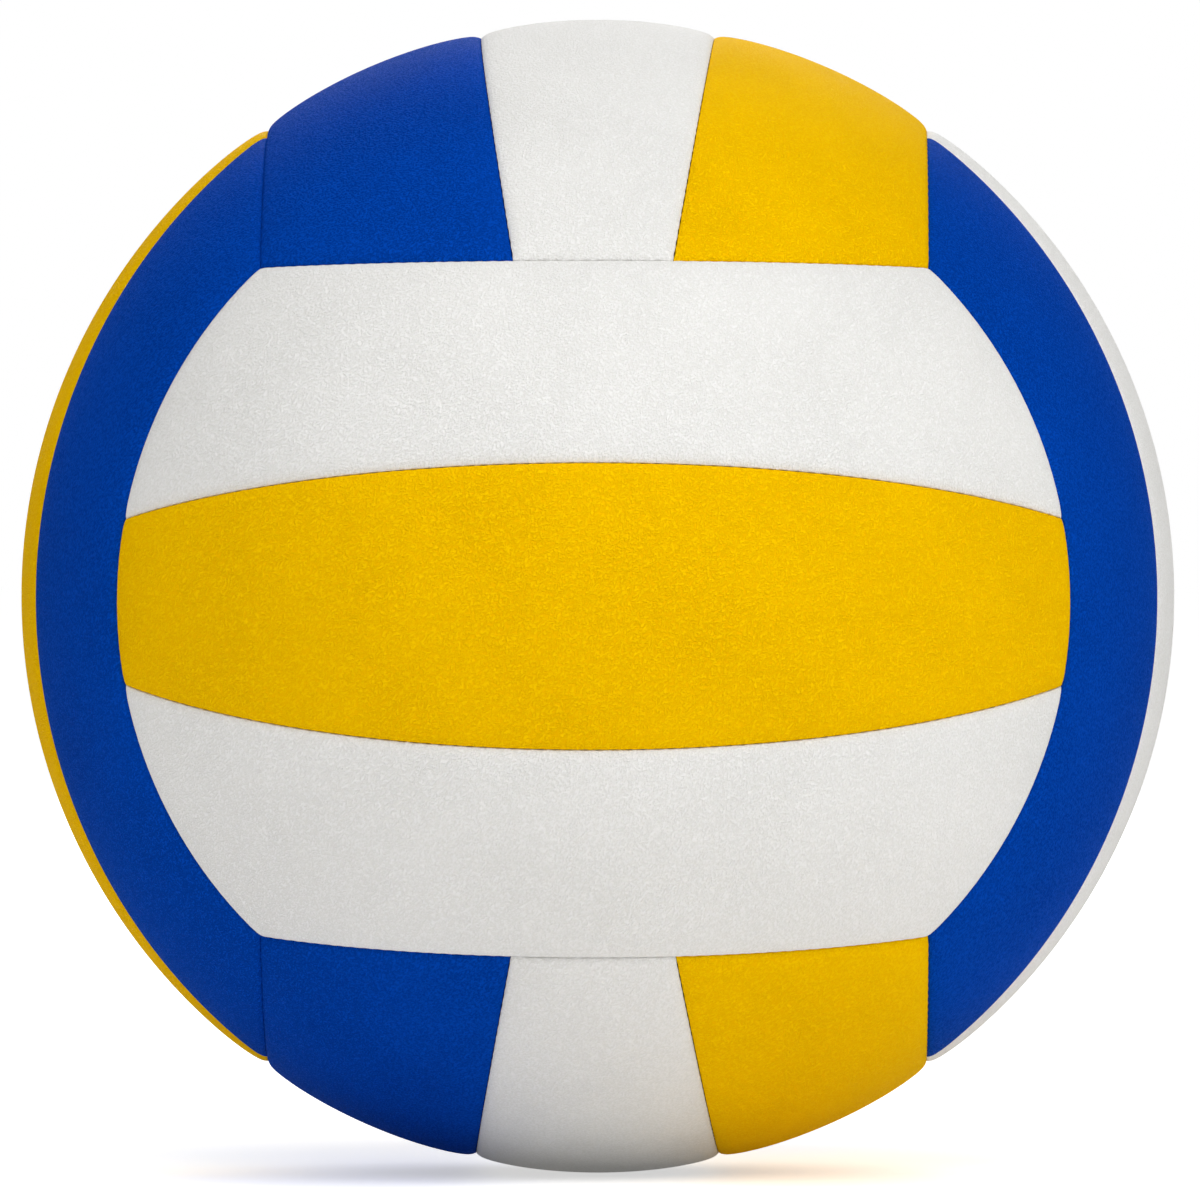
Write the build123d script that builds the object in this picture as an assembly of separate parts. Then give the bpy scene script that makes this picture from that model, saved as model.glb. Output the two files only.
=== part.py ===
"""Volleyball: eighteen sewn cover panels over foam pads, a butyl bladder and a needle valve.

The ball is six alike faces, each of three strips, and each face runs across its four neighbours.
A face lies between small circles of the ball: its long edges on two circles about the axis across
the strips, and its ends on one circle about its own normal. The seams inside a face are great
circles. Every seam wall points at the ball's centre, so one cone, or a flat cone, describes it.
+Z is up, -Y is the front of the ball, and the origin is the ball's centre.
"""

from build123d import *
import os
from math import acos, asin, cos, degrees, radians, sin, sqrt

# Cover, in millimetres and degrees
ball_diameter = 210.0  # across the crowns of opposite panels
centre_strip_angle = 27.6  # angle at the ball's centre across the middle strip of a face
skin_thickness = 1.2  # synthetic leather with its cloth backing
edge_roll_radius = 2.0  # outside radius where the skin turns in at a seam
roll_rise = 0.01  # of the rolls above the crown that trims them, which leaves a crisp edge
foam_thickness = 3.0  # sponge pad glued behind each skin
pad_edge_radius = 1.0  # of the pad's outer edges
seam_gap = 0.4  # between the two turned-in edges of a seam
glue_gap = 0.05  # between a skin and its pad, and other glued faces

# Sewing thread
thread_diameter = 0.8
thread_gap = 0.1  # round the thread, between skin edge and pad
stitch_depth = 3.2  # of the thread's centre below the crown of the cover

# Bladder
bladder_wall = 0.7
bladder_gap = 0.2  # between the cover's lining side and the bladder

# Valve
collar_radius = 4.0  # rubber disc that shows in the cover
collar_recess = 0.3  # of the collar's outer end below the crown of the cover
hole_clearance = 0.15  # round the collar, in the cover, pad and bladder
flange_radius = 14.0  # round foot bonded to the inside of the bladder
flange_thickness = 1.6
stem_radius = 5.5
stem_length = 10.0  # inward from the flange
stem_floor = 1.5  # closed end of the stem
core_radius = 2.8
core_gap = 0.05  # between the core and its socket
needle_radius = 1.1  # bore that guides an inflating needle
needle_guide_length = 8.0
funnel_radius = 1.9  # mouth that leads the needle in
funnel_depth = 1.2
slit_width = 0.2  # self-sealing slit below the guide
air_hole_radius = 1.4  # in the stem's floor

# Derived places
ball_radius = ball_diameter / 2
edge_circle_angle = degrees(acos(1 / sqrt(3)))  # through the corners where three faces meet
pad_outer_radius = ball_radius - skin_thickness - glue_gap
cover_inner_radius = pad_outer_radius - foam_thickness
bladder_outer_radius = cover_inner_radius - bladder_gap
bladder_inner_radius = bladder_outer_radius - bladder_wall
skin_inset = seam_gap / 2
pocket_inset = skin_inset + skin_thickness
thread_inset = pocket_inset + thread_gap + thread_diameter / 2
pad_inset = thread_inset + thread_diameter / 2 + thread_gap
stitch_radius = ball_radius - stitch_depth
reach = 2 * ball_radius  # past everything, for cutting solids

# Faces: outward normal and the way its strips run
FACES = {
    "front": ((0, -1, 0), (1, 0, 0)),
    "back": ((0, 1, 0), (-1, 0, 0)),
    "left": ((-1, 0, 0), (0, 0, 1)),
    "right": ((1, 0, 0), (0, 0, 1)),
    "top": ((0, 0, 1), (0, 1, 0)),
    "bottom": ((0, 0, -1), (0, 1, 0)),
}

# Names of the strips of each face, in the order upper, centre, lower of its own frame
STRIPS = {
    "front": ("upper", "centre", "lower"),
    "back": ("upper", "centre", "lower"),
    "left": ("rear", "centre", "front"),
    "right": ("front", "centre", "rear"),
    "top": ("left", "centre", "right"),
    "bottom": ("right", "centre", "left"),
}
VALVE_FACE = "back"

# Seams of a strip in its face's frame, X along the strips and Z outward: axis and half angle
# of the cone that the strip lies inside. A half angle of 90 degrees is a plane. The order is
# ends, upper edge, lower edge, and the strip that isn't the centre one is the upper one.
half_strip = radians(centre_strip_angle / 2)
above_upper_seam = Vector(0, cos(half_strip), -sin(half_strip))
above_lower_seam = Vector(0, cos(half_strip), sin(half_strip))
END_SEAM = (Vector(0, 0, 1), edge_circle_angle)
LONG_EDGE_SEAM = (Vector(0, -1, 0), 180 - edge_circle_angle)
SIDE_STRIP_SEAMS = (END_SEAM, LONG_EDGE_SEAM, (above_upper_seam, 90))
CENTRE_STRIP_SEAMS = (END_SEAM, (-above_upper_seam, 90), (above_lower_seam, 90))


def turned_to(axis, shape):
    """The shape, made round Z, turned so that its Z lies along the axis, its start away from the strip."""
    away = Vector(0, -1, -1)
    away = away - axis * away.dot(axis)
    return Plane(origin=(0, 0, 0), x_dir=away, z_dir=axis).location * shape


def wall_directions(half_angle):
    """Directions in a half section through the seam's axis: out along its wall, and into the strip."""
    along = Vector(sin(radians(half_angle)), cos(radians(half_angle)))
    inward = Vector(-cos(radians(half_angle)), sin(radians(half_angle)))
    return along, inward


def beyond_seam(seam, inset, outer_radius, roll_radius):
    """All that is cut away at a seam: the far side of its wall, and the corner outside the edge's roll.

    The wall lies the inset inside the seam. The roll is an arc from the wall to the outer radius.
    """
    axis, half_angle = seam
    along, inward = wall_directions(half_angle)
    from_middle = outer_radius - roll_radius + roll_rise
    from_seam = inset + roll_radius
    roll_centre = along * sqrt(from_middle**2 - from_seam**2) + inward * from_seam
    roll_foot = roll_centre - inward * roll_radius
    outward = roll_centre.normalized()
    level = (outer_radius**2 - roll_radius**2 + from_middle**2) / (2 * from_middle)
    sideways = (inward - outward * inward.dot(outward)).normalized()
    roll_top = outward * level - sideways * sqrt(outer_radius**2 - level**2)
    bisector = ((roll_top - roll_centre).normalized() - inward).normalized()
    roll = ThreePointArc(roll_foot, roll_centre + bisector * roll_radius, roll_top)
    wall_start = along * (outer_radius / 2) + inward * inset
    far = roll_top.normalized() * reach
    outline = Polyline(
        roll_top,
        far,
        (2 * reach, far.Y),
        (2 * reach, -2 * reach),
        (0, -2 * reach),
        (0, wall_start.Y),
        wall_start,
        roll_foot,
    )
    half_section = Plane.XZ * make_face([roll] + outline.edges())
    return turned_to(axis, revolve(half_section, Axis.Z))


def strip_block(seams, inset, inner_radius, outer_radius, roll_radius):
    """Piece of a ball shell between two radii, inside all the seams of a strip, with rolled edges."""
    block = Sphere(outer_radius) - Sphere(inner_radius)
    for seam in seams:
        block = block - beyond_seam(seam, inset, outer_radius, roll_radius)
    return block.solid()


def skin(seams):
    """Cover skin of one strip: a tray whose edges roll over and turn in along the seams."""
    body = strip_block(seams, skin_inset, cover_inner_radius, ball_radius, edge_roll_radius)
    pocket_floor = cover_inner_radius - skin_thickness
    pocket_radius = ball_radius - skin_thickness
    inside_roll_radius = edge_roll_radius - skin_thickness
    pocket = strip_block(seams, pocket_inset, pocket_floor, pocket_radius, inside_roll_radius)
    return (body - pocket).solid()


def pad(seams):
    """Foam pad that fills the tray of one strip, short of its edges by the thread's room."""
    return strip_block(seams, pad_inset, cover_inner_radius, pad_outer_radius, pad_edge_radius)


def run_limit(seam, other):
    """Turn about a seam's axis, from the way to the other's axis, where a thread run meets the other seam."""
    own_angle = radians(seam[1]) - asin(thread_inset / stitch_radius)
    other_angle = radians(other[1]) - asin(pad_inset / stitch_radius)
    between = radians(seam[0].get_angle(other[0]))
    over = cos(other_angle) - cos(own_angle) * cos(between)
    return degrees(acos(over / (sin(own_angle) * sin(between))))


def thread_run(seam, zero_direction, start, turn):
    """Round thread along the back of a turned-in edge, from a start angle through a turn."""
    axis, half_angle = seam
    along, inward = wall_directions(half_angle)
    middle = along * sqrt(stitch_radius**2 - thread_inset**2) + inward * thread_inset
    section = Plane.XZ * Pos(middle.X, middle.Y) * Circle(thread_diameter / 2)
    run = Rot(0, 0, start) * revolve(section, Axis.Z, turn)
    across = zero_direction - axis * zero_direction.dot(axis)
    return Plane(origin=(0, 0, 0), x_dir=across, z_dir=axis).location * run


def threads(seams):
    """Thread runs of one strip: one along each long edge and one along each of its two ends."""
    end, upper, lower = seams
    runs = []
    for seam in (upper, lower):
        half_turn = run_limit(seam, end)
        runs.append(thread_run(seam, end[0], -half_turn, 2 * half_turn))
    low = 90 - run_limit(end, lower)
    high = run_limit(end, upper) - 90
    runs.append(thread_run(end, Vector(1, 0, 0), low, high - low))
    runs.append(thread_run(end, Vector(1, 0, 0), 180 - high, high - low))
    return [run.solid() for run in runs]


def face_location(face):
    """Where a face's own frame lies in the ball."""
    normal, along = FACES[face]
    return Plane(origin=(0, 0, 0), x_dir=along, z_dir=normal).location


def bladder():
    """Hollow butyl ball with the hole for the valve's collar."""
    ball = Sphere(bladder_outer_radius) - Sphere(bladder_inner_radius)
    return (ball - valve_bore(collar_radius + hole_clearance)).solid()


def valve_bore(radius):
    """Round rod along +Z from the ball's centre out past the cover."""
    return Cylinder(radius, reach, align=(Align.CENTER, Align.CENTER, Align.MIN))


collar_top = ball_radius - collar_recess
flange_outer_radius = bladder_inner_radius - glue_gap
flange_inner_radius = flange_outer_radius - flange_thickness
stem_bottom = flange_inner_radius - stem_length
core_bottom = stem_bottom + stem_floor


def valve_body():
    """Rubber valve body along +Z: collar through the cover, domed foot, and stem with a socket."""
    foot = Sphere(flange_outer_radius) - Sphere(flange_inner_radius)
    foot = foot & valve_bore(flange_radius)
    stem_height = flange_outer_radius - flange_thickness / 2 - stem_bottom
    stem = Pos(0, 0, stem_bottom) * Cylinder(
        stem_radius, stem_height, align=(Align.CENTER, Align.CENTER, Align.MIN)
    )
    collar = Pos(0, 0, stem_bottom + stem_floor) * Cylinder(
        collar_radius, collar_top - stem_bottom - stem_floor, align=(Align.CENTER, Align.CENTER, Align.MIN)
    )
    body = foot + stem + collar
    body = body - Pos(0, 0, core_bottom) * valve_bore(core_radius + core_gap)
    return (body - Pos(0, 0, stem_bottom - stem_floor) * valve_bore(air_hole_radius)).solid()


def valve_core():
    """Soft plug along +Z: funnel, needle guide and a closed slit down to its foot."""
    height = collar_top - core_bottom - core_gap
    plug = Pos(0, 0, core_bottom + core_gap) * Cylinder(
        core_radius, height, align=(Align.CENTER, Align.CENTER, Align.MIN)
    )
    guide_bottom = collar_top - funnel_depth - needle_guide_length
    funnel = Pos(0, 0, collar_top - funnel_depth) * Cone(
        needle_radius, funnel_radius, funnel_depth, align=(Align.CENTER, Align.CENTER, Align.MIN)
    )
    slit_height = guide_bottom - core_bottom
    slit = Pos(0, 0, core_bottom) * Box(
        2 * needle_radius, slit_width, slit_height, align=(Align.CENTER, Align.CENTER, Align.MIN)
    )
    return (plug - Pos(0, 0, guide_bottom) * valve_bore(needle_radius) - funnel - slit).solid()


def build():
    """All pieces of the ball by node name."""
    half_turn = Rot(0, 0, 180)
    side_skin, centre_skin = skin(SIDE_STRIP_SEAMS), skin(CENTRE_STRIP_SEAMS)
    side_pad, centre_pad = pad(SIDE_STRIP_SEAMS), pad(CENTRE_STRIP_SEAMS)
    side_threads, centre_threads = threads(SIDE_STRIP_SEAMS), threads(CENTRE_STRIP_SEAMS)
    hole = valve_bore(collar_radius + hole_clearance)
    pieces = {}
    for face, (upper, centre, lower) in STRIPS.items():
        place = face_location(face)
        has_valve = face == VALVE_FACE
        pieces[f"panel_{face}_{upper}"] = place * side_skin
        pieces[f"panel_{face}_{centre}"] = place * (centre_skin - hole if has_valve else centre_skin)
        pieces[f"panel_{face}_{lower}"] = place * half_turn * side_skin
        pieces[f"pad_{face}_{upper}"] = place * side_pad
        pieces[f"pad_{face}_{centre}"] = place * (centre_pad - hole if has_valve else centre_pad)
        pieces[f"pad_{face}_{lower}"] = place * half_turn * side_pad
        runs = [place * run for run in side_threads + centre_threads]
        runs += [place * half_turn * run for run in side_threads]
        pieces[f"seam_thread_{face}"] = Compound(children=runs)
    valve_place = face_location(VALVE_FACE)
    pieces["bladder"] = valve_place * bladder()
    pieces["valve_body"] = valve_place * valve_body()
    pieces["valve_core"] = valve_place * valve_core()
    return pieces


os.makedirs("parts", exist_ok=True)
for name, piece in build().items():
    export_step(piece, f"parts/{name}.step")
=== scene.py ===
"""Volleyball dressed for the camera: sewn leather panels, foam pads, threads, bladder and valve.

Shapes are worked out in millimetres, in the frame of one face or of the ball, and go into the meshes
in metres. +Z is up, -Y is the front of the ball, and the origin is the ball's centre.
"""

from __future__ import annotations

import logging
import math
from dataclasses import dataclass
from enum import Enum
from typing import Any

import bpy
import numpy as np
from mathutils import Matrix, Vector


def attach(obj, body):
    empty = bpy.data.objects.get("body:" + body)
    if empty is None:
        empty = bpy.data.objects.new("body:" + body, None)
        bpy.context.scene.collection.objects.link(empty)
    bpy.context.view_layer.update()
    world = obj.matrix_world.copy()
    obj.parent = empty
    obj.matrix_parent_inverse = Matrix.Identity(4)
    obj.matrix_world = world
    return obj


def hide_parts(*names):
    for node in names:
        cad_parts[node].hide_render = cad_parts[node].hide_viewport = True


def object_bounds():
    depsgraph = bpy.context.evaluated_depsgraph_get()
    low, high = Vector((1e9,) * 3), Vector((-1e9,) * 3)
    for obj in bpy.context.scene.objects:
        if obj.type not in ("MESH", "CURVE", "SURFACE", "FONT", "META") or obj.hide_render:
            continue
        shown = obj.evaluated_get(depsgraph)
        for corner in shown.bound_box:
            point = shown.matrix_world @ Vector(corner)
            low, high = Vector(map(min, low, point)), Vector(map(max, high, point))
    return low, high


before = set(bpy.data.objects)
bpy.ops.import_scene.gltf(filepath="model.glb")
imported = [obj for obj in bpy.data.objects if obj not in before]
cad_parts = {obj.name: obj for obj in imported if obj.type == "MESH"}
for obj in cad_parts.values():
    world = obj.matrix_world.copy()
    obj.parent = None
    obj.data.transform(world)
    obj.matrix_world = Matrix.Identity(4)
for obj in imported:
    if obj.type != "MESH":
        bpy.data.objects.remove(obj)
CAD_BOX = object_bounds()

Array = np.ndarray
MM = 0.001
BODY = "root"
LOG = logging.getLogger("volleyball")

# Grids are crowded at their edges: the first step in mm, and how many places before the even ones
FIRST_STEP = 0.045
CROWDED_STEPS = 7


class Colour(Enum):
    """Colours of the cover, with the record's material slot of each."""

    WHITE = "white_leather"
    YELLOW = "yellow_leather"
    BLUE = "blue_leather"


class Place(Enum):
    """Where a strip lies in its face."""

    UPPER = 0
    CENTRE = 1
    LOWER = 2


class Face(Enum):
    """Faces of the ball: outward normal and the way the strips run."""

    FRONT = ((0, -1, 0), (1, 0, 0))
    BACK = ((0, 1, 0), (-1, 0, 0))
    LEFT = ((-1, 0, 0), (0, 0, 1))
    RIGHT = ((1, 0, 0), (0, 0, 1))
    TOP = ((0, 0, 1), (0, 1, 0))
    BOTTOM = ((0, 0, -1), (0, 1, 0))

    def turn(self) -> Array:
        """Rows of the face's own axes in the ball: along the strips, across them, and outward."""
        normal, along = (np.array(direction, float) for direction in self.value)
        return np.stack([along, np.cross(normal, along), normal])


# Name and colour of each strip, in the order upper, centre, lower of the face's own frame
LAYOUT: dict[Face, tuple[tuple[str, Colour], ...]] = {
    Face.FRONT: (("upper", Colour.WHITE), ("centre", Colour.YELLOW), ("lower", Colour.WHITE)),
    Face.BACK: (("upper", Colour.BLUE), ("centre", Colour.YELLOW), ("lower", Colour.BLUE)),
    Face.LEFT: (("rear", Colour.WHITE), ("centre", Colour.YELLOW), ("front", Colour.BLUE)),
    Face.RIGHT: (("front", Colour.BLUE), ("centre", Colour.WHITE), ("rear", Colour.YELLOW)),
    Face.TOP: (("left", Colour.BLUE), ("centre", Colour.WHITE), ("right", Colour.YELLOW)),
    Face.BOTTOM: (("right", Colour.YELLOW), ("centre", Colour.WHITE), ("left", Colour.BLUE)),
}
VALVE_FACE = Face.BACK

# Half the angle that the centre strip of a face spans at its middle and at its ends, in degrees, as sewn
# on this ball. Where the two are alike, the seams inside the face are great circles.
HALF_STRIP_ANGLES: dict[Face, tuple[float, float]] = {
    Face.FRONT: (14.2, 14.2),
    Face.BACK: (14.2, 14.2),
    Face.LEFT: (12.8, 12.8),
    Face.RIGHT: (12.8, 12.8),
    Face.TOP: (11.8, 13.2),
    Face.BOTTOM: (12.3, 13.3),
}

# Edges of this ball that bow towards the face whose strips end there, or away from it where negative,
# in degrees, by that face and its end. The others have no bow: each is a circle about the middle of
# that face.
EDGE_BOWS: dict[tuple[Face, int], float] = {
    (Face.TOP, -1): 3.2,
    (Face.BOTTOM, -1): 7.5,
    (Face.FRONT, -1): -2.8,
    (Face.FRONT, 1): -1.6,
}

# Height over the ball's centre at which a face's edges with no bow lie, as a share of the radius: that of
# the corners of a cube
CORNER_HEIGHT = 1 / math.sqrt(3)


@dataclass(frozen=True)
class BallSizes:
    """Sizes of the ball in millimetres. Depths are below the crown of the panels, and insets from a seam."""

    radius: float = (CAD_BOX[1][0] - CAD_BOX[0][0]) / (2 * MM)
    strip_length: float = 200.0
    strip_width: float = 47.0
    skin_thickness: float = 1.2
    cover_depth: float = 4.25  # of the back of the pads
    pad_top_depth: float = 1.3
    pad_inset: float = 2.4
    pad_edge_radius: float = 1.0
    seam_half_gap: float = 0.15
    pucker_drop: float = 0.5  # short fall of the skin right at a seam
    pucker_reach: float = 0.65
    crown_drop: float = 0.7  # long soft fall of the skin towards a seam
    crown_reach: float = 4.5
    stitch_pitch: float = 2.6
    stitch_pull: float = 0.14  # of an edge towards its seam at a stitch
    stitch_dip: float = 0.05  # of the skin at a stitch
    stitch_reach: float = 0.9
    thread_inset: float = 1.9
    thread_depth: float = 3.2
    valve_hole_radius: float = 4.15
    valve_hole_roll: float = 0.7
    bladder_gap: float = 0.2
    bladder_wall: float = 0.7


SIZES = BallSizes()


def unit(vectors: Array) -> Array:
    """Vectors divided by their lengths, along the last axis.

    Args:
        vectors: Any array whose last axis is a vector.

    Returns:
        Unit vectors of the same shape.
    """
    return vectors / np.linalg.norm(vectors, axis=-1, keepdims=True)


def quarter_roll(distance: Array, radius: float) -> Array:
    """Depth below a flat surface of an edge that rolls over: radius minus the height of a quarter circle.

    Args:
        distance: Distance in from the edge, in mm.
        radius: Radius of the roll, in mm.

    Returns:
        Depth in mm, the radius at the edge and zero past the roll.
    """
    inward = radius - np.clip(distance, 0, radius)
    return radius - np.sqrt(radius**2 - inward**2)


@dataclass(frozen=True)
class Seam:
    """A seam circle in its strip's frame. The strip lies inside the cone of the half angle about the axis.

    The upward direction is square to the axis and points at the middle of the seam.
    """

    axis: tuple[float, float, float]
    half_angle: float
    upward: tuple[float, float, float]

    def inside(self, points: Array) -> Array:
        """Distance in from the seam: the half angle less the angle from the axis, times the ball's radius.

        Past the axis the angle counts as negative, because the far side of the circle isn't sewn.

        Args:
            points: Unit vectors.

        Returns:
            Distances in mm, positive inside the strip.
        """
        angle = np.arccos(np.clip(points @ np.array(self.axis), -1, 1))
        angle = np.where(points @ np.array(self.upward) < 0, -angle, angle)
        return (self.half_angle - angle) * SIZES.radius

    def along(self, points: Array) -> Array:
        """Distance along the seam from its middle: the turn about the axis times the circle's radius.

        Args:
            points: Unit vectors.

        Returns:
            Distances in mm.
        """
        turn = np.arctan2(points @ self.sideways(), points @ np.array(self.upward))
        return turn * SIZES.radius * math.sin(self.half_angle)

    def stitch_wave(self, points: Array) -> Array:
        """Raised cosine along the seam at the stitch pitch: 1 at each stitch and 0 halfway between two."""
        phase = self.along(points) / SIZES.stitch_pitch
        return 0.5 + 0.5 * np.cos(math.tau * phase)

    def sideways(self) -> Array:
        """Direction square to the axis and to the middle of the seam."""
        return np.cross(self.axis, self.upward)

    def toward(self, points: Array) -> Array:
        """Unit directions on the ball that lead away from the seam into the strip."""
        axis = np.array(self.axis)
        return unit(axis - points * (points @ axis)[..., None])


def edge_bow(face: Face, side: int) -> float:
    """Bow in radians of the edge at one end of a face's strips, -1 for the left and 1 for the right."""
    return math.radians(EDGE_BOWS.get((face, side), 0.0))


def edge_angle(bow: float) -> float:
    """Half angle of an edge's circle, which passes the corners of a cube whatever its bow."""
    return math.acos((math.cos(bow) - math.sin(bow)) * CORNER_HEIGHT)


def end_seam(bow: float, side: int) -> Seam:
    """Edge at an end of a strip: a circle about the middle of the face, leant from the end by the bow.

    Args:
        bow: Bow of the edge in radians.
        side: -1 for the left end and 1 for the right one.

    Returns:
        The seam.
    """
    axis = (-side * math.sin(bow), 0.0, math.cos(bow))
    return Seam(axis, edge_angle(bow), (side * math.cos(bow), 0.0, math.sin(bow)))


def long_seam(bow: float) -> Seam:
    """Edge along the top of a side strip: the circle at the end of the next face's strips, from outside."""
    axis = (0.0, -math.cos(bow), math.sin(bow))
    return Seam(axis, math.pi - edge_angle(bow), (0.0, math.sin(bow), math.cos(bow)))


def strip_seam(middle: float, end: float, way: int) -> Seam:
    """Seam between two strips: the circle that passes given angles at the strip's middle and at its ends.

    The circle's plane leans by the slope of the line from the end point to the middle one, seen along
    the strip, and with equal angles it goes through the ball's centre.

    Args:
        middle: Angle above the middle of the face in radians.
        end: The same where the strip ends.
        way: 1 for the strip above the seam and -1 for the one below.

    Returns:
        The seam.
    """
    rise = math.sin(middle) - CORNER_HEIGHT * math.tan(end)
    lean = math.atan2(rise, math.cos(middle) - CORNER_HEIGHT)
    axis = (0.0, way * math.cos(lean), -way * math.sin(lean))
    half_angle = math.pi / 2 - way * (middle - lean)
    return Seam(axis, half_angle, (0.0, math.sin(lean), math.cos(lean)))


def edge_steps(length: float, spacing: float) -> Array:
    """Places from 0 to 1 along a length, crowded towards both ends and even between.

    The distance of the first few places from an end grows with the square of their number.

    Args:
        length: Length in mm.
        spacing: Even spacing in mm.

    Returns:
        Rising places, 0 and 1 among them.
    """
    crowded = FIRST_STEP * np.arange(CROWDED_STEPS) ** 2 / length
    count = max(2, round((1 - 2 * crowded[-1]) * length / spacing))
    even = np.linspace(crowded[-1], 1 - crowded[-1], count + 1)
    return np.concatenate([crowded[:-1], even, 1 - crowded[-2::-1]])


def circle_arc(seam: Seam, start: Array, end: Array, places: Array) -> Array:
    """Points along a circle beside a seam: the start turned about its axis by shares of the turn to the end.

    Args:
        seam: The seam.
        start: Unit vector of the first point.
        end: Unit vector of the last point.
        places: Shares of the turn, from 0 to 1.

    Returns:
        Unit vectors, one for each place.
    """
    axis = np.array(seam.axis)
    level = axis * (start @ axis)
    across = start - level
    side = np.cross(axis, across)
    turn = math.atan2(end @ side, end @ across)
    angles = places[:, None] * turn
    return level + across * np.cos(angles) + side * np.sin(angles)


@dataclass(frozen=True)
class StripShape:
    """Outline of a strip in its own frame, X along it and Z outward."""

    left: Seam
    right: Seam
    upper: Seam
    lower: Seam

    def seams(self) -> tuple[Seam, ...]:
        """All seams of the strip."""
        return self.left, self.right, self.upper, self.lower

    def corner(self, edge: Seam, end: Seam, inset: float) -> Array:
        """Corner of the outline: where the inset circle of an edge meets the inset circle of an end.

        The two circles' planes meet in a line, and the corner is where that line leaves the ball.

        Args:
            edge: The upper or lower seam.
            end: The seam at one end.
            inset: Inset of both circles in mm.

        Returns:
            Unit vector.
        """
        shift = inset / SIZES.radius
        axes = np.array([end.axis, edge.axis])
        levels = np.cos(np.array([end.half_angle, edge.half_angle]) - shift)
        nearest = np.linalg.solve(axes @ axes.T, levels) @ axes
        line = unit(np.cross(*axes))
        line = line * np.sign(line @ np.array(end.upward))
        return nearest + line * math.sqrt(1 - nearest @ nearest)

    def grid(self, inset: float, along: Array, across: Array) -> Array:
        """Unit vectors over the strip: a Coons patch between its four inset circles, put on the ball.

        Args:
            inset: Inset of the outline in mm.
            along: Places from 0 to 1 along the strip.
            across: Places from 0 to 1 from the lower edge to the upper one.

        Returns:
            Array of places along, places across and 3.
        """
        low_left, low_right = (self.corner(self.lower, end, inset) for end in (self.left, self.right))
        high_left, high_right = (self.corner(self.upper, end, inset) for end in (self.left, self.right))
        low = circle_arc(self.lower, low_left, low_right, along)[:, None]
        high = circle_arc(self.upper, high_left, high_right, along)[:, None]
        left = circle_arc(self.left, low_left, high_left, across)[None]
        right = circle_arc(self.right, low_right, high_right, across)[None]
        u = along[:, None, None]
        v = across[None, :, None]
        corners = (low_left * (1 - u) + low_right * u) * (1 - v) + (high_left * (1 - u) + high_right * u) * v
        return unit(low * (1 - v) + high * v + left * (1 - u) + right * u - corners)


def strip_turn(place: Place) -> Array:
    """Rows of a strip's own axes in its face. A lower strip is an upper one turned half round."""
    return np.diag([-1.0, -1.0, 1.0]) if place is Place.LOWER else np.eye(3)


def strip_shape(face: Face, place: Place) -> StripShape:
    """Outline of one strip, with the bows of its own edges.

    Args:
        face: The face it lies in.
        place: Its place there.

    Returns:
        The outline in the strip's frame.
    """
    turn = strip_turn(place) @ face.turn()
    way = round(strip_turn(place)[0, 0])
    left, right = (end_seam(edge_bow(face, way * side), side) for side in (-1, 1))
    middle, end_angle = (math.radians(angle) for angle in HALF_STRIP_ANGLES[face])
    if place is Place.CENTRE:
        return StripShape(left, right, strip_seam(middle, end_angle, -1), strip_seam(-middle, -end_angle, 1))
    above = next(other for other in Face if np.allclose(other.turn()[2], turn[1]))
    end = round(float(above.turn()[0] @ turn[2]))
    upper = long_seam(edge_bow(above, end))
    return StripShape(left, right, upper, strip_seam(middle, end_angle, 1))


def boundary_loop(rows: int, columns: int) -> Array:
    """Indices round the edge of a grid, anticlockwise seen from outside.

    Args:
        rows: Grid points along.
        columns: Grid points across.

    Returns:
        Flat indices, each corner once.
    """
    index = np.arange(rows * columns).reshape(rows, columns)
    return np.concatenate([index[:-1, 0], index[-1, :-1], index[:0:-1, -1], index[0, :0:-1]])


def grid_quads(rows: int, columns: int) -> Array:
    """Quads of a grid, anticlockwise seen from outside, as flat indices."""
    index = np.arange(rows * columns).reshape(rows, columns)
    return np.stack([index[:-1, :-1], index[1:, :-1], index[1:, 1:], index[:-1, 1:]], axis=-1).reshape(-1, 4)


def loop_quads(first: Array, second: Array) -> Array:
    """Quads between two closed loops of as many points, as indices."""
    return np.stack([first, second, np.roll(second, -1), np.roll(first, -1)], axis=-1)


def cap_quads(ring: Array) -> Array:
    """Quads that close a ring of an even number of points, in bands from one half of it to the other."""
    step = np.arange(len(ring) // 2 - 1)
    return np.stack([ring[step], ring[step + 1], ring[-2 - step], ring[-1 - step]], axis=-1)


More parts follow.
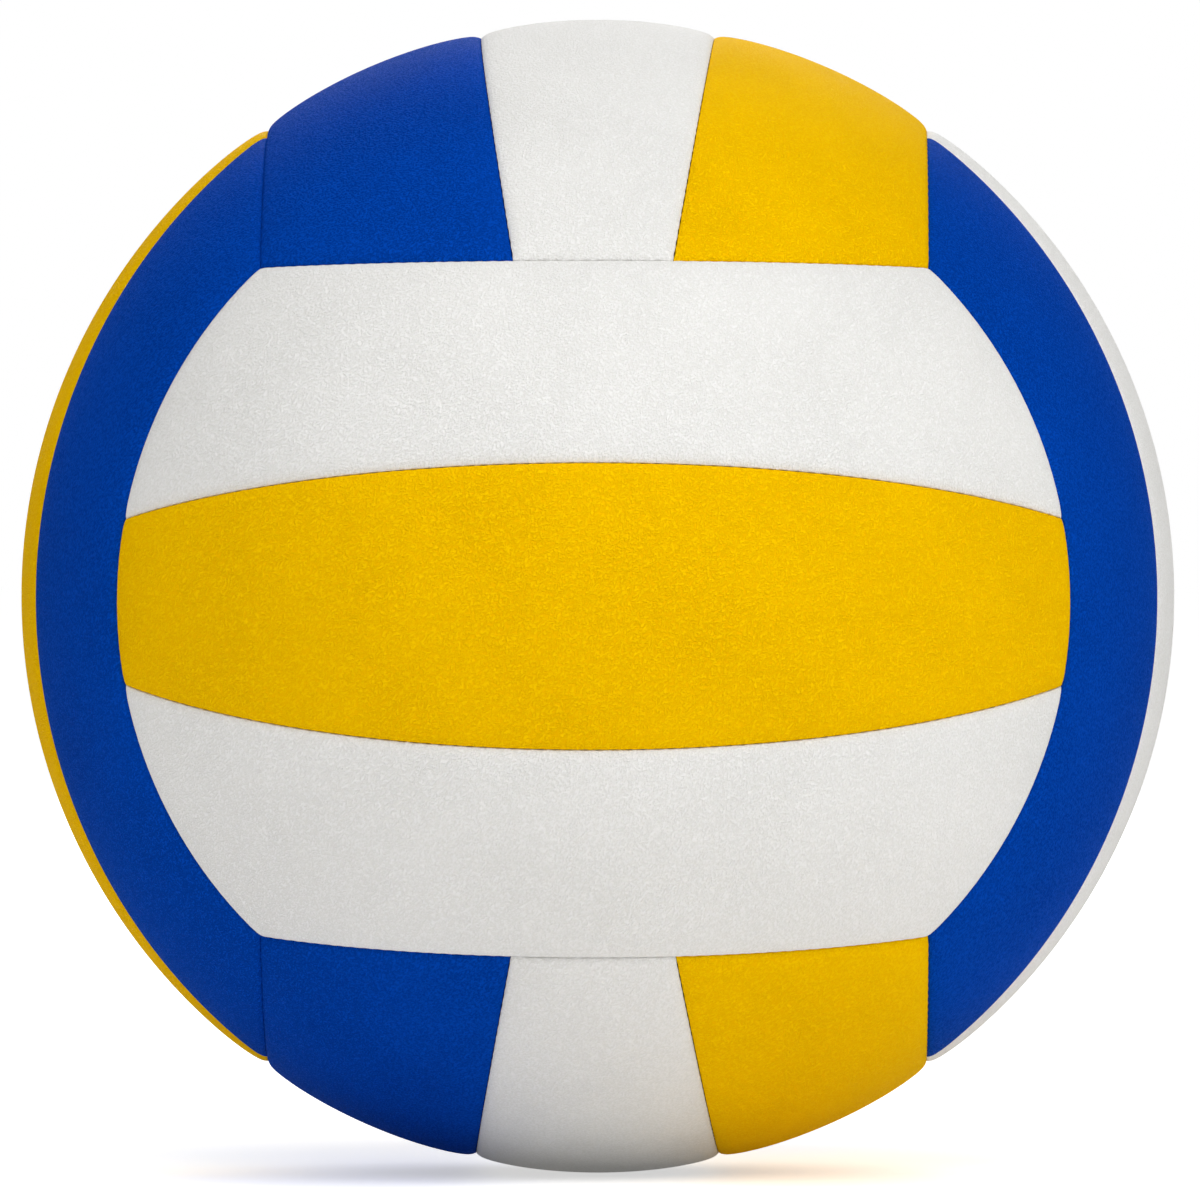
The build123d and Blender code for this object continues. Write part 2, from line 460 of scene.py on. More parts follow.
class MeshParts:
    """Vertices and quads of one piece, collected as whole arrays."""

    def __init__(self) -> None:
        """An empty piece."""
        self.points: list[Array] = []
        self.quads: list[Array] = []
        self.count = 0

    def add_points(self, points: Array) -> Array:
        """Adds points to the piece.

        Args:
            points: Array in mm whose last axis is a point.

        Returns:
            Their indices in the piece.
        """
        flat = points.reshape(-1, 3)
        self.points.append(flat)
        self.count += len(flat)
        return np.arange(self.count - len(flat), self.count)

    def add_quads(self, quads: Array) -> None:
        """Adds quads of indices."""
        self.quads.append(quads)

    def bridge(self, loops: list[Array]) -> None:
        """Joins each loop of indices to the next."""
        for first, second in zip(loops, loops[1:]):
            self.add_quads(loop_quads(first, second))

    def build(self, name: str, turn: Array) -> bpy.types.Object:
        """Makes the object, with its place in its mesh.

        Args:
            name: Name of the piece.
            turn: Rows of the piece's own axes in the ball.

        Returns:
            The new object, at the origin and linked to the scene.
        """
        points = np.concatenate(self.points) @ turn * MM
        quads = np.concatenate(self.quads)
        mesh = bpy.data.meshes.new(name)
        mesh.vertices.add(len(points))
        mesh.vertices.foreach_set("co", points.ravel())
        mesh.loops.add(quads.size)
        mesh.loops.foreach_set("vertex_index", quads.ravel().astype(np.int32))
        mesh.polygons.add(len(quads))
        mesh.polygons.foreach_set("loop_start", np.arange(0, quads.size, 4, dtype=np.int32))
        mesh.polygons.foreach_set("use_smooth", np.ones(len(quads), dtype=bool))
        mesh.update(calc_edges=True)
        mesh.validate()
        piece = bpy.data.objects.new(name, mesh)
        bpy.context.scene.collection.objects.link(piece)
        return piece


def dress(piece: bpy.types.Object, material: bpy.types.Material, slot: str, *nodes: str) -> None:
    """Gives a piece its material and body, hides the solids that it stands for, and logs its record slot.

    Args:
        piece: The new piece.
        material: Its finish.
        slot: The record's material slot.
        nodes: Solids that it replaces.
    """
    piece.data.materials.append(material)
    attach(piece, BODY)
    if nodes:
        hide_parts(*nodes)
    LOG.info("%s: %d triangles, slot %s", piece.name, 2 * len(piece.data.polygons), slot)


@dataclass(frozen=True)
class Strip:
    """One strip of the cover: its skin and its foam pad."""

    face: Face
    place: Place
    name: str
    colour: Colour
    spacing: float = 0.8
    ring_spacing: float = 1.6
    lining_rings: int = 12
    pad_spacing: float = 4.0
    wall_shares: tuple[float, ...] = (0.35, 0.7, 1.0)

    @property
    def label(self) -> str:
        """Face and strip in words."""
        return f"{self.face.name.lower()}_{self.name}"

    @property
    def shape(self) -> StripShape:
        """Outline of the strip."""
        return strip_shape(self.face, self.place)

    @property
    def has_valve(self) -> bool:
        """Whether the valve comes through this strip."""
        return self.face is VALVE_FACE and self.place is Place.CENTRE

    def turn(self) -> Array:
        """Rows of the strip's own axes in the ball."""
        return strip_turn(self.place) @ self.face.turn()

    def pulled_in(self, points: Array) -> Array:
        """Points moved towards the seams where a stitch draws the two edges together.

        The move is a raised cosine along the seam at the stitch pitch, and fades with distance from it.

        Args:
            points: Unit vectors.

        Returns:
            The moved unit vectors.
        """
        moved = points
        for seam in self.shape.seams():
            pull = SIZES.stitch_pull * seam.stitch_wave(points)
            pull = pull * np.exp(-np.abs(seam.inside(points)) / SIZES.stitch_reach)
            moved = moved - seam.toward(points) * (pull / SIZES.radius)[..., None]
        return unit(moved)

    def skin_depth(self, points: Array) -> Array:
        """Depth of the skin's outside below the ball: a long soft fall to each seam and a pucker at it.

        Both are exponentials of the distance to the seam, and so is a small dip at each stitch. The depths
        of the seams are joined by the cube root of the sum of their cubes, which rounds the corners.

        Args:
            points: Unit vectors.

        Returns:
            Depths in mm.
        """
        total = np.zeros(points.shape[:-1])
        for seam in self.shape.seams():
            distance = np.abs(seam.inside(points) - SIZES.seam_half_gap)
            dip = SIZES.stitch_dip * seam.stitch_wave(points)
            depth = SIZES.crown_drop * np.exp(-distance / SIZES.crown_reach)
            depth = depth + SIZES.pucker_drop * np.exp(-distance / SIZES.pucker_reach)
            depth = depth + dip * np.exp(-distance / SIZES.stitch_reach)
            total = total + depth**3
        return np.cbrt(total)

    def valve_depth(self, points: Array) -> Array:
        """Depth of the rolled rim of the valve hole: a quarter roll of the distance to the hole."""
        from_axis = np.arccos(np.clip(points[..., 2], -1, 1)) * SIZES.radius
        return quarter_roll(from_axis - SIZES.valve_hole_radius, SIZES.valve_hole_roll)

    def ring_grid(self, edge: Array, places: Array) -> Array:
        """Unit vectors from the valve hole out to an edge loop: straight blends put on the ball.

        Args:
            edge: Loop of unit vectors round the strip.
            places: Shares of the way from the hole to the edge.

        Returns:
            Array of places, loop points and 3.
        """
        angle = SIZES.valve_hole_radius / SIZES.radius
        flat = unit(edge * np.array([1, 1, 0]))
        hole = flat * math.sin(angle) + np.array([0, 0, math.cos(angle)])
        share = places[:, None, None]
        return unit(hole[None] * (1 - share) + edge[None] * share)

    def build_skin(self) -> bpy.types.Object:
        """Leather tray: outside, rolled edges, turned-in walls down to the bladder, and inside.

        Returns:
            The new piece.
        """
        along = edge_steps(SIZES.strip_length, self.spacing)
        across = edge_steps(SIZES.strip_width, self.spacing)
        outside = self.shape.grid(SIZES.seam_half_gap, along, across)
        inside = self.shape.grid(SIZES.seam_half_gap + SIZES.skin_thickness, along, across)
        rows, columns = outside.shape[:2]
        loop = boundary_loop(rows, columns)
        outer_edge = outside.reshape(-1, 3)[loop]
        inner_edge = inside.reshape(-1, 3)[loop]
        floor = SIZES.radius - SIZES.cover_depth
        parts = MeshParts()
        moved_edge = self.pulled_in(outer_edge)
        edge_radius = SIZES.radius - self.skin_depth(outer_edge)
        walls = []
        for share in self.wall_shares:
            radius = edge_radius * (1 - share) + floor * share
            walls.append(moved_edge * radius[:, None])
        walls.append(inner_edge * floor)
        walls.append(inner_edge * (SIZES.radius - 2 * SIZES.skin_thickness))
        lining = SIZES.radius - SIZES.skin_thickness - SIZES.crown_drop
        if self.has_valve:
            top = self.ring_grid(outer_edge, edge_steps(SIZES.strip_length / 2, self.ring_spacing))
            depth = np.maximum(self.skin_depth(top), self.valve_depth(top))
            top = self.pulled_in(top) * (SIZES.radius - depth)[..., None]
            bottom = self.ring_grid(inner_edge, np.linspace(1, 0, self.lining_rings)) * lining
            loops = [parts.add_points(points) for points in (*top, *walls, *bottom)]
            parts.bridge(loops + loops[:1])
        else:
            depth = self.skin_depth(outside)
            top = parts.add_points(self.pulled_in(outside) * (SIZES.radius - depth)[..., None])
            sides = [parts.add_points(points) for points in walls]
            bottom = parts.add_points(inside * lining)
            parts.bridge([top[loop], *sides, bottom[loop]])
            parts.add_quads(top[grid_quads(rows, columns)])
            parts.add_quads(bottom[grid_quads(rows, columns)[:, ::-1]])
        return parts.build(f"skin_{self.label}", self.turn())

    def pad_top(self, points: Array) -> Array:
        """Outside of the pad: a quarter roll at the nearest edge, below the skin's lining.

        Args:
            points: Unit vectors.

        Returns:
            Points in mm.
        """
        nearest = np.minimum.reduce([seam.inside(points) for seam in self.shape.seams()])
        depth = quarter_roll(nearest - SIZES.pad_inset, SIZES.pad_edge_radius)
        top_radius = SIZES.radius - SIZES.pad_top_depth - SIZES.crown_drop
        return points * (top_radius - depth)[..., None]

    def build_pad(self) -> bpy.types.Object:
        """Foam pad in the tray: a block with rolled outer edges, and the valve's hole where it has one.

        Returns:
            The new piece.
        """
        along = edge_steps(SIZES.strip_length, self.pad_spacing)
        across = edge_steps(SIZES.strip_width, self.pad_spacing)
        grid = self.shape.grid(SIZES.pad_inset, along, across)
        rows, columns = grid.shape[:2]
        loop = boundary_loop(rows, columns)
        edge = grid.reshape(-1, 3)[loop]
        floor = SIZES.radius - SIZES.cover_depth
        parts = MeshParts()
        if self.has_valve:
            rings = self.ring_grid(edge, edge_steps(SIZES.strip_length / 2, self.pad_spacing))
            loops = [parts.add_points(points) for points in (*self.pad_top(rings), *(rings[::-1] * floor))]
            parts.bridge(loops + loops[:1])
        else:
            top = parts.add_points(self.pad_top(grid))
            bottom = parts.add_points(grid * floor)
            parts.bridge([top[loop], bottom[loop]])
            parts.add_quads(top[grid_quads(rows, columns)])
            parts.add_quads(bottom[grid_quads(rows, columns)[:, ::-1]])
        return parts.build(f"foam_{self.label}", self.turn())


@dataclass(frozen=True)
class FaceThread:
    """Sewing thread of one face: runs behind the turned-in edges and bars that cross its own seams."""

    face: Face
    run_radius: float = 0.34
    run_sides: int = 6
    run_spacing: float = 0.9
    run_dip: float = 0.25
    bar_radius: float = 0.16
    bar_reach: float = 0.5
    bar_depth: float = 1.9
    bar_rise: float = 0.15
    bar_sides: int = 6
    bar_places: tuple[float, ...] = (-1.0, -0.6, 0.0, 0.6, 1.0)
    end_share: float = 0.3

    def add_tube(self, parts: MeshParts, path: Array, normal: Array, radius: float, sides: int) -> None:
        """Adds a round tube along a path, drawn in at both ends and closed there by quads.

        Each ring is the path's point plus the normal and the binormal times cosine and sine of the turn.

        Args:
            parts: The piece that is being made.
            path: Points in mm.
            normal: Unit vector at each point, square to the path.
            radius: Radius in mm.
            sides: Points round the tube, an even number.
        """
        binormal = np.cross(normal, unit(np.gradient(path, axis=0)))
        turns = np.arange(sides)[:, None] * math.tau / sides
        rings = normal[:, None] * np.cos(turns) + binormal[:, None] * np.sin(turns)
        size = np.full((len(path), 1, 1), radius)
        size[[0, -1]] *= self.end_share
        loops = [parts.add_points(loop) for loop in path[:, None] + rings * size]
        parts.bridge(loops)
        for ring in (loops[0], loops[-1][::-1]):
            parts.add_quads(cap_quads(ring))

    def add_run(self, parts: MeshParts, seam: Seam, start: Array, end: Array, flip: Array) -> None:
        """Adds the thread behind one edge: a circle beside the seam that dips into each needle hole.

        The dip is the cube of a raised cosine at the stitch pitch.

        Args:
            parts: The piece that is being made.
            seam: The seam it runs along.
            start: Corner of the pad where it begins.
            end: Corner of the pad where it ends.
            flip: Turn of the strip in its face.
        """
        length = SIZES.radius * math.acos(start @ end)
        line = circle_arc(seam, start, end, np.linspace(0, 1, round(length / self.run_spacing)))
        dip = self.run_dip * seam.stitch_wave(line) ** 3
        shift = SIZES.pad_inset - SIZES.thread_inset + dip
        line = unit(line - seam.toward(line) * (shift / SIZES.radius)[:, None]) @ flip
        path = line * (SIZES.radius - SIZES.thread_depth)
        self.add_tube(parts, path, line, self.run_radius, self.run_sides)

    def add_bars(self, parts: MeshParts, shape: StripShape, seam: Seam, flip: Array) -> None:
        """Adds the bars across one seam: short arched tubes at the stitch pitch, counted from its middle.

        The arch is a parabola of the place across the seam.

        Args:
            parts: The piece that is being made.
            shape: Outline of the strip.
            seam: The seam that they cross.
            flip: Turn of the strip in its face.
        """
        corner = shape.corner(seam, shape.right, 0.0)
        count = int(abs(float(seam.along(corner))) / SIZES.stitch_pitch)
        circle_radius = SIZES.radius * math.sin(seam.half_angle)
        turns = np.arange(-count, count + 1) * SIZES.stitch_pitch / circle_radius
        spoke = np.array(seam.upward) * np.cos(turns)[:, None] + seam.sideways() * np.sin(turns)[:, None]
        middles = spoke * math.sin(seam.half_angle) + np.array(seam.axis) * math.cos(seam.half_angle)
        places = np.array(self.bar_places)[:, None]
        height = SIZES.radius - self.bar_depth + self.bar_rise * (1 - places**2)
        for middle, into in zip(middles @ flip, seam.toward(middles) @ flip):
            path = middle * height + into * self.bar_reach * places
            normal = np.broadcast_to(np.cross(middle, into), path.shape)
            self.add_tube(parts, path, normal, self.bar_radius, self.bar_sides)

    def build(self) -> bpy.types.Object:
        """All the thread of the face, in the face's frame.

        Returns:
            The new piece.
        """
        parts = MeshParts()
        for place in Place:
            shape = strip_shape(self.face, place)
            flip = strip_turn(place)
            corners = {
                (edge, end): shape.corner(edge, end, SIZES.pad_inset)
                for edge in (shape.upper, shape.lower)
                for end in (shape.left, shape.right)
            }
            for edge in (shape.upper, shape.lower):
                self.add_run(parts, edge, corners[edge, shape.left], corners[edge, shape.right], flip)
            for end in (shape.left, shape.right):
                self.add_run(parts, end, corners[shape.lower, end], corners[shape.upper, end], flip)
            if place is not Place.CENTRE:
                self.add_bars(parts, shape, shape.upper, flip)
                self.add_bars(parts, shape, shape.lower, flip)
        return parts.build(f"stitching_{self.face.name.lower()}", self.face.turn())


@dataclass(frozen=True)
class Bladder:
    """Butyl bladder: a hollow ball with a hole for the valve's collar, and a low moulding line."""

    rings: int = 96
    segments: int = 128
    line_height: float = 0.12
    line_width: float = 1.2
    pole_radius: float = 0.02

    def build(self) -> bpy.types.Object:
        """A half section carried round the valve's axis: outer arc, hole wall and inner arc.

        The moulding line is a bell curve of height added to the outer radius at the ball's equator.

        Returns:
            The new piece.
        """
        outer = SIZES.radius - SIZES.cover_depth - SIZES.bladder_gap - self.line_height
        inner = outer - SIZES.bladder_wall
        last_angle = math.pi - self.pole_radius / outer
        angles = np.linspace(SIZES.valve_hole_radius / outer, last_angle, self.rings)
        from_line = (angles - math.pi / 2) * outer / self.line_width
        outer_radius = outer + self.line_height * np.exp(-(from_line**2))
        radius = np.concatenate([outer_radius, np.full(self.rings, inner)])
        section = np.concatenate([angles, angles[::-1]])
        turns = np.arange(self.segments) * math.tau / self.segments
        ring = np.stack([np.cos(turns), np.sin(turns), np.zeros_like(turns)], axis=-1)
        axis = np.array([0, 0, 1.0])
        points = ring[None] * (radius * np.sin(section))[:, None, None]
        points = points + axis * (radius * np.cos(section))[:, None, None]
        parts = MeshParts()
        loops = [parts.add_points(loop) for loop in points]
        parts.bridge(loops[: self.rings])
        parts.bridge(loops[self.rings :] + loops[:1])
        for pole_ring in (loops[self.rings - 1][::-1], loops[self.rings]):
            parts.add_quads(cap_quads(pole_ring))
        return parts.build("inner_bladder", VALVE_FACE.turn())


def linear(hex_colour: str) -> tuple[float, float, float, float]:
    """Linear colour of an sRGB hex value.

    Args:
        hex_colour: Six hex digits after a hash sign.

    Returns:
        Red, green, blue and an alpha of 1.
    """
    parts = [int(hex_colour[i : i + 2], 16) / 255 for i in (1, 3, 5)]
    red, green, blue = (p / 12.92 if p <= 0.04045 else ((p + 0.055) / 1.055) ** 2.4 for p in parts)
    return red, green, blue, 1.0


def per_metre(size_mm: float) -> float:
    """Texture scale that repeats a pattern at a size in millimetres on Object coordinates in metres."""
    return 1 / (size_mm * MM)


def add_node(tree: bpy.types.NodeTree, kind: str, links: dict[Any, Any], **settings: Any) -> bpy.types.Node:
    """Adds a node with its settings, socket values and links.

    Args:
        tree: The node tree.
        kind: Blender's name of the node.
        links: Socket name or number to a value, or to an output socket that is linked to it.
        settings: Properties of the node.

    Returns:
        The new node.
    """
    node = tree.nodes.new(kind)
    for name, value in settings.items():
        setattr(node, name, value)
    for socket, value in links.items():
        if isinstance(value, bpy.types.NodeSocket):
            tree.links.new(value, node.inputs[socket])
        else:
            node.inputs[socket].default_value = value
    return node


def new_material(name: str) -> tuple[bpy.types.Material, bpy.types.NodeTree]:
    """An empty node material.

    Args:
        name: Its name.

    Returns:
        The material and its node tree.
    """
    material = bpy.data.materials.new(name)
    material.use_nodes = True
    material.node_tree.nodes.clear()
    return material, material.node_tree


@dataclass(frozen=True)
class LeatherFinish:
    """Microfibre synthetic leather: polyurethane skin, coloured through and embossed with a fine grain.

    The eye sees an even matt colour with almost no gloss, and short curved wrinkles, a third of a millimetre
    wide, that the light picks out. Painted shade darkens the colour in their valleys, and on the blue the
    lighter ridge colour is also a painted highlight of the grain.
    """

    name: str
    # Ridge colour and valley colour of the grain: the darker valley colour is painted shade, and the blue's
    # lighter ridge colour is also a painted highlight
    colour: str
    painted_valley_shade: str
    grain_depth_mm: float
    roughness: float = 0.55
    roughness_swing: float = 0.1
    ior: float = 1.5
    specular: float = 0.002
    wrinkle_mm: float = 0.33
    wrinkle_detail: float = 1.0
    wrinkle_breakup: float = 0.4
    wrinkle_bend: float = 0.7
    wrinkle_stretch: float = 1.6
    wrinkle_turn: tuple[float, float, float] = (0.0, -0.75, -0.57)
    wrinkle_flanks: tuple[float, float] = (0.33, 0.67)
    patch_mm: float = 24.0
    patch_detail: float = 2.0
    patch_flanks: tuple[float, float] = (0.3, 0.7)
    patch_depths: tuple[float, float] = (0.85, 1.0)

    def material(self) -> bpy.types.Material:
        """Builds the material.

        Returns:
            The new material.
        """
        material, tree = new_material(self.name)
        place = add_node(tree, "ShaderNodeTexCoord", {}).outputs["Object"]
        stretched = add_node(
            tree,
            "ShaderNodeMapping",
            {"Vector": place, "Rotation": self.wrinkle_turn, "Scale": (self.wrinkle_stretch, 1.0, 1.0)},
            vector_type="TEXTURE",
        )
        wrinkles = add_node(
            tree,
            "ShaderNodeTexNoise",
            {
                "Vector": stretched.outputs[0],
                "Scale": per_metre(self.wrinkle_mm),
                "Detail": self.wrinkle_detail,
                "Roughness": self.wrinkle_breakup,
                "Distortion": self.wrinkle_bend,
            },
        )
        low, high = self.wrinkle_flanks
        grain = add_node(
            tree,
            "ShaderNodeMapRange",
            {"Value": wrinkles.outputs["Fac"], "From Min": low, "From Max": high},
            interpolation_type="SMOOTHSTEP",
        )
        # Some patches of the leather are embossed deeper than others, and get deeper painted shade in their
        # valleys too
        patches = add_node(
            tree,
            "ShaderNodeTexNoise",
            {"Vector": place, "Scale": per_metre(self.patch_mm), "Detail": self.patch_detail},
        )
        low, high = self.patch_flanks
        shallow, full = self.patch_depths
        depth = add_node(
            tree,
            "ShaderNodeMapRange",
            {
                "Value": patches.outputs["Fac"],
                "From Min": low,
                "From Max": high,
                "To Min": shallow,
                "To Max": full,
            },
        )
        # Painted shade: the colour goes from the ridge colour to the darker valley colour where the grain is
        # low, standing in for shade in the wrinkles; on the blue the lighter ridges are also a painted
        # highlight of the grain
        painted_valley_shade = add_node(
            tree,
            "ShaderNodeMapRange",
            {
                "Value": grain.outputs["Result"],
                "From Min": 1.0,
                "From Max": 0.0,
                "To Max": depth.outputs["Result"],
            },
        )
        colour = add_node(
            tree,
            "ShaderNodeMix",
            {"Factor": painted_valley_shade.outputs["Result"], "A": linear(self.colour), "B": linear(self.painted_valley_shade)},
            data_type="RGBA",
        )
        rough = add_node(
            tree,
            "ShaderNodeMapRange",
            {
                "Value": grain.outputs["Result"],
                "To Min": self.roughness + self.roughness_swing,
                "To Max": self.roughness - self.roughness_swing,
            },
        )
        bump = add_node(
            tree,
            "ShaderNodeBump",
            {
                "Height": grain.outputs["Result"],
                "Strength": depth.outputs["Result"],
                "Distance": self.grain_depth_mm * MM,
            },
        )
        surface = add_node(
            tree,
            "ShaderNodeBsdfPrincipled",
            {
                "Base Color": colour.outputs["Result"],
                "Roughness": rough.outputs["Result"],
                "IOR": self.ior,
                "Specular IOR Level": self.specular,
                "Normal": bump.outputs["Normal"],
            },
        )
        add_node(tree, "ShaderNodeOutputMaterial", {"Surface": surface.outputs[0]})
        return material


@dataclass(frozen=True)
class SpeckledFinish:
    """A plain finish with one grain: sponge with its pores, spun thread with its fibres, or moulded rubber.

    The grain is noise at a real size, which tints the colour and raises a bump.
    """

    name: str
    colour: str
    second: str
    roughness: float
    grain_mm: float
    depth_mm: float
    ior: float = 1.5
    grain_detail: float = 3.0

    def material(self) -> bpy.types.Material:
        """Builds the material.

        Returns:
            The new material.
        """
        material, tree = new_material(self.name)
        place = add_node(tree, "ShaderNodeTexCoord", {}).outputs["Object"]
        grain = add_node(
            tree,
            "ShaderNodeTexNoise",
            {"Vector": place, "Scale": per_metre(self.grain_mm), "Detail": self.grain_detail},
        )
        colour = add_node(
            tree,
            "ShaderNodeMix",
            {"Factor": grain.outputs["Fac"], "A": linear(self.colour), "B": linear(self.second)},
            data_type="RGBA",
        )
        bump = add_node(
            tree,
            "ShaderNodeBump",
            {"Height": grain.outputs["Fac"], "Strength": 1.0, "Distance": self.depth_mm * MM},
        )
        surface = add_node(
            tree,
            "ShaderNodeBsdfPrincipled",
            {
                "Base Color": colour.outputs["Result"],
                "Roughness": self.roughness,
                "IOR": self.ior,
                "Normal": bump.outputs["Normal"],
            },
        )
        add_node(tree, "ShaderNodeOutputMaterial", {"Surface": surface.outputs[0]})
        return material


# Embossed leather: matt and even, with the grain deepest to the eye on the dark colour. The second colour of
# each is painted shade in the grain's valleys, and the blue's lighter first colour is also a painted
# highlight on its ridges
LEATHERS = {
    Colour.WHITE: LeatherFinish("white_synthetic_leather", "#f4f3f1", "#eae9e5", 0.14),
    Colour.YELLOW: LeatherFinish("yellow_synthetic_leather", "#ffcc02", "#f9bc00", 0.2),
    Colour.BLUE: LeatherFinish("blue_synthetic_leather", "#0449ba", "#003a9a", 0.24),
}
# Foamed and sliced sponge: dull cream, pitted all over by open cells of about a millimetre
SPONGE = SpeckledFinish("open_cell_sponge", "#e9e4d6", "#cfc7b2", 0.95, 0.9, 0.3)
# Spun thread: dull tan with a streak of fibres, drawn far coarser than real fibres so that it shows
POLYESTER_THREAD = SpeckledFinish("spun_polyester_thread", "#8a7a5c", "#6b5c42", 0.8, 0.25, 0.05)
# Rubber moulded in blasted tools: near black, with a soft shine and a faint mottle coarser than real grit
BUTYL = SpeckledFinish("moulded_butyl_rubber", "#1c1c1d", "#262626", 0.55, 1.6, 0.02, 1.52)
VALVE_RUBBER = SpeckledFinish("moulded_valve_rubber", "#1f1f20", "#2a2a2b", 0.6, 0.5, 0.02, 1.52)
CORE_RUBBER = SpeckledFinish("soft_core_rubber", "#303031", "#3a3a3b", 0.7, 0.4, 0.03, 1.52)


class Cover:
    """All strips and threads of the ball."""

    def __init__(self) -> None:
        """Lists the strips in the layout's order."""
        self.strips = [
            Strip(face, place, name, colour)
            for face, row in LAYOUT.items()
            for place, (name, colour) in zip(Place, row)
        ]
        self.threads = [FaceThread(face) for face in Face]

    def build(self) -> None:
        """Builds and dresses skins, pads and threads."""
        leathers = {colour: finish.material() for colour, finish in LEATHERS.items()}
        sponge = SPONGE.material()
        thread = POLYESTER_THREAD.material()
        for strip in self.strips:
            skin = strip.build_skin()
            dress(skin, leathers[strip.colour], strip.colour.value, f"panel_{strip.label}")
            pad = strip.build_pad()
            dress(pad, sponge, "sponge_foam", f"pad_{strip.label}")
        for face_thread in self.threads:
            stitching = face_thread.build()
            node = f"seam_thread_{face_thread.face.name.lower()}"
            dress(stitching, thread, "polyester_thread", node)


@dataclass(frozen=True)
class Inside:
    """Bladder and valve."""

    bladder: Bladder = Bladder()

    def build(self) -> None:
        """Builds the bladder, and dresses the valve's own solids."""
        dress(self.bladder.build(), BUTYL.material(), "butyl_rubber", "bladder")
        for node, finish in (("valve_body", VALVE_RUBBER), ("valve_core", CORE_RUBBER)):
            rubber = finish.material()
            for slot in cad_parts[node].material_slots:
                slot.material = rubber
            LOG.info("%s: solid kept, %s", node, finish.name)


@dataclass(frozen=True)
class Lamp:
    """A round soft lamp that points at the ball: place and diameter in metres, power in watts."""

    name: str
    place: tuple[float, float, float]
    size: float
    power: float

    def build(self) -> None:
        """Adds the lamp to the scene."""
        light = bpy.data.lights.new(self.name, "AREA")
        light.shape = "DISK"
        light.size = self.size
        light.energy = self.power
        holder = bpy.data.objects.new(self.name, light)
        holder.location = self.place
        holder.rotation_euler = (-Vector(self.place)).to_track_quat("-Z", "Y").to_euler()
        bpy.context.scene.collection.objects.link(holder)


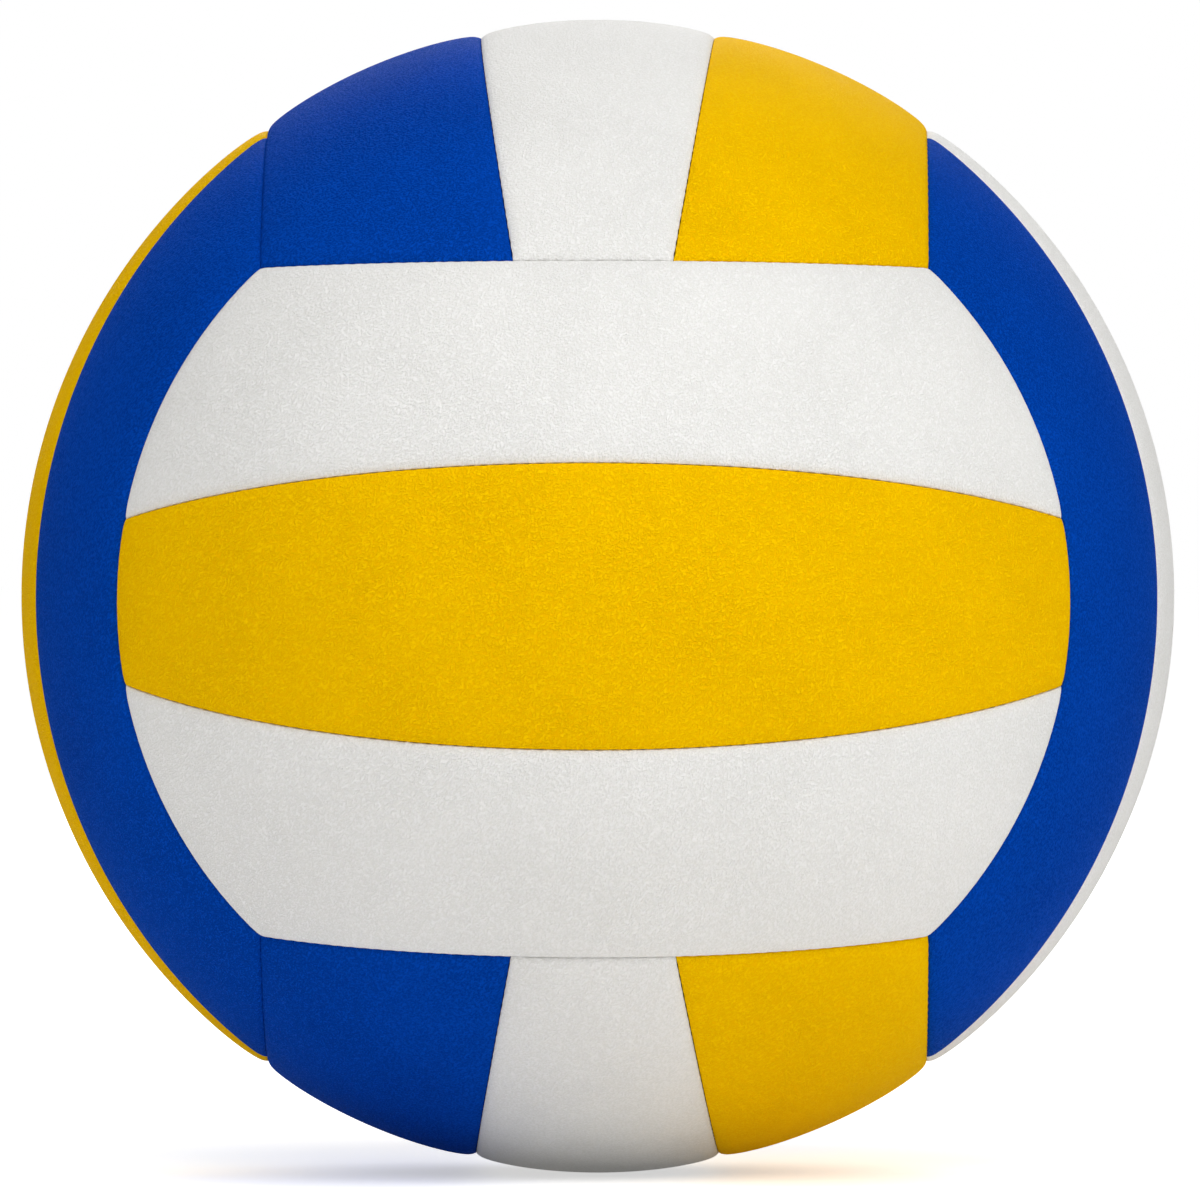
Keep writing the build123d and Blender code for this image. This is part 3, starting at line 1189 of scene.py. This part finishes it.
@dataclass(frozen=True)
class Studio:
    """White room, lamps and camera of the photograph, in metres and degrees, the camera's lens in mm."""

    camera_azimuth: float = 0.57
    camera_elevation: float = 1.05
    camera_distance: float = 3.489
    lens: float = 574.4
    sensor_width: float = 36.0
    aim_right: float = 0.0004
    aim_down: float = 0.0007
    floor_radius: float = 6.0
    floor_points: int = 64
    floor_colour: str = "#fafafa"
    room_light: float = 0.115
    table_light: float = 0.1  # glow that the floor gives off onto the ball and the room, though it is no lamp
    floor_glow: tuple[float, float] = (0.5, 0.88)  # seen by the camera, near the ball and far from it
    floor_glow_reach: tuple[float, float] = (0.15, 0.9)
    lamps: tuple[Lamp, ...] = (
        Lamp("side_softbox", (1.2, -0.9, 1.0), 1.2, 10.1),
        Lamp("front_softbox", (0.2, -1.8, 1.2), 1.4, 10.9),
        Lamp("top_softbox", (0.0, -0.7, 1.6), 1.8, 13.8),
        Lamp("left_softbox", (-1.2, -0.7, 1.1), 1.2, 3.8),
        Lamp("rear_softbox", (0.0, 1.9, 1.1), 1.4, 20.0),
    )

    def build_camera(self) -> None:
        """Camera on a sphere round the ball, aimed a hair beside its centre as in the photograph."""
        azimuth = math.radians(self.camera_azimuth)
        elevation = math.radians(self.camera_elevation)
        away = Vector(
            (
                math.sin(azimuth) * math.cos(elevation),
                -math.cos(azimuth) * math.cos(elevation),
                math.sin(elevation),
            )
        )
        camera = bpy.data.objects.new("camera", bpy.data.cameras.new("camera"))
        camera.data.lens = self.lens
        camera.data.sensor_width = self.sensor_width
        camera.rotation_euler = (-away).to_track_quat("-Z", "Y").to_euler()
        right = Vector((math.cos(azimuth), math.sin(azimuth), 0))
        up = away.cross(right)
        camera.location = away * self.camera_distance + right * self.aim_right - up * self.aim_down
        bpy.context.scene.collection.objects.link(camera)
        bpy.context.scene.camera = camera

    def build_world(self) -> None:
        """White world: an even light on the ball, and plain white to the camera and in reflections."""
        world = bpy.data.worlds.new("white_room")
        bpy.context.scene.world = world
        world.use_nodes = True
        tree = world.node_tree
        tree.nodes.clear()
        path = add_node(tree, "ShaderNodeLightPath", {})
        sharp = add_node(
            tree,
            "ShaderNodeMath",
            {0: path.outputs["Is Glossy Ray"], 1: path.outputs["Is Transmission Ray"]},
            operation="MAXIMUM",
        )
        seen = add_node(
            tree,
            "ShaderNodeMath",
            {0: path.outputs["Is Camera Ray"], 1: sharp.outputs[0]},
            operation="MAXIMUM",
        )
        white = (1, 1, 1, 1)
        light = add_node(tree, "ShaderNodeBackground", {"Color": white, "Strength": self.room_light})
        plain = add_node(tree, "ShaderNodeBackground", {"Color": white, "Strength": 1.0})
        sides = {0: seen.outputs[0], 1: light.outputs[0], 2: plain.outputs[0]}
        mix = add_node(tree, "ShaderNodeMixShader", sides)
        add_node(tree, "ShaderNodeOutputWorld", {"Surface": mix.outputs[0]})

    def build_floor(self) -> None:
        """White painted floor under the ball: a flat disc, matt and with the ball's shadow left in.

        To the camera it is lifted to white, and to all other rays it glows a little, though it is no lamp,
        which lights the ball from below.
        """
        turns = np.arange(self.floor_points) * math.tau / self.floor_points
        ring = np.stack([np.cos(turns), np.sin(turns)], axis=-1) * self.floor_radius
        level = -SIZES.radius * MM
        points = np.column_stack([ring, np.full(len(ring), level)])
        mesh = bpy.data.meshes.new("floor")
        mesh.from_pydata(points.tolist(), [], [list(range(len(points)))])
        floor = bpy.data.objects.new("floor", mesh)
        bpy.context.scene.collection.objects.link(floor)
        material, tree = new_material("white_floor_paint")
        path = add_node(tree, "ShaderNodeLightPath", {})
        matt = add_node(tree, "ShaderNodeBsdfDiffuse", {"Color": linear(self.floor_colour)})
        place = add_node(tree, "ShaderNodeTexCoord", {}).outputs["Object"]
        away = add_node(tree, "ShaderNodeVectorMath", {0: place}, operation="LENGTH")
        spread = add_node(
            tree,
            "ShaderNodeMapRange",
            {
                "Value": away.outputs["Value"],
                "From Min": self.floor_glow_reach[0],
                "From Max": self.floor_glow_reach[1],
                "To Min": self.floor_glow[0],
                "To Max": self.floor_glow[1],
            },
        )
        lift = add_node(
            tree,
            "ShaderNodeMix",
            {"Factor": path.outputs["Is Camera Ray"], "A": self.table_light, "B": spread.outputs["Result"]},
        )
        glow = add_node(tree, "ShaderNodeEmission", {"Strength": lift.outputs["Result"]})
        both = add_node(tree, "ShaderNodeAddShader", {0: matt.outputs[0], 1: glow.outputs[0]})
        add_node(tree, "ShaderNodeOutputMaterial", {"Surface": both.outputs[0]})
        mesh.materials.append(material)

    def build(self) -> None:
        """Builds room, lamps and camera, and sets the plain view."""
        self.build_camera()
        self.build_world()
        self.build_floor()
        for lamp in self.lamps:
            lamp.build()
        bpy.context.scene.view_settings.view_transform = "Standard"


def main() -> None:
    """Builds the studio, the cover and the inside, in that order."""
    logging.basicConfig(level=logging.INFO, format="%(message)s")
    Studio().build()
    Cover().build()
    Inside().build()


if __name__ == "__main__":
    main()
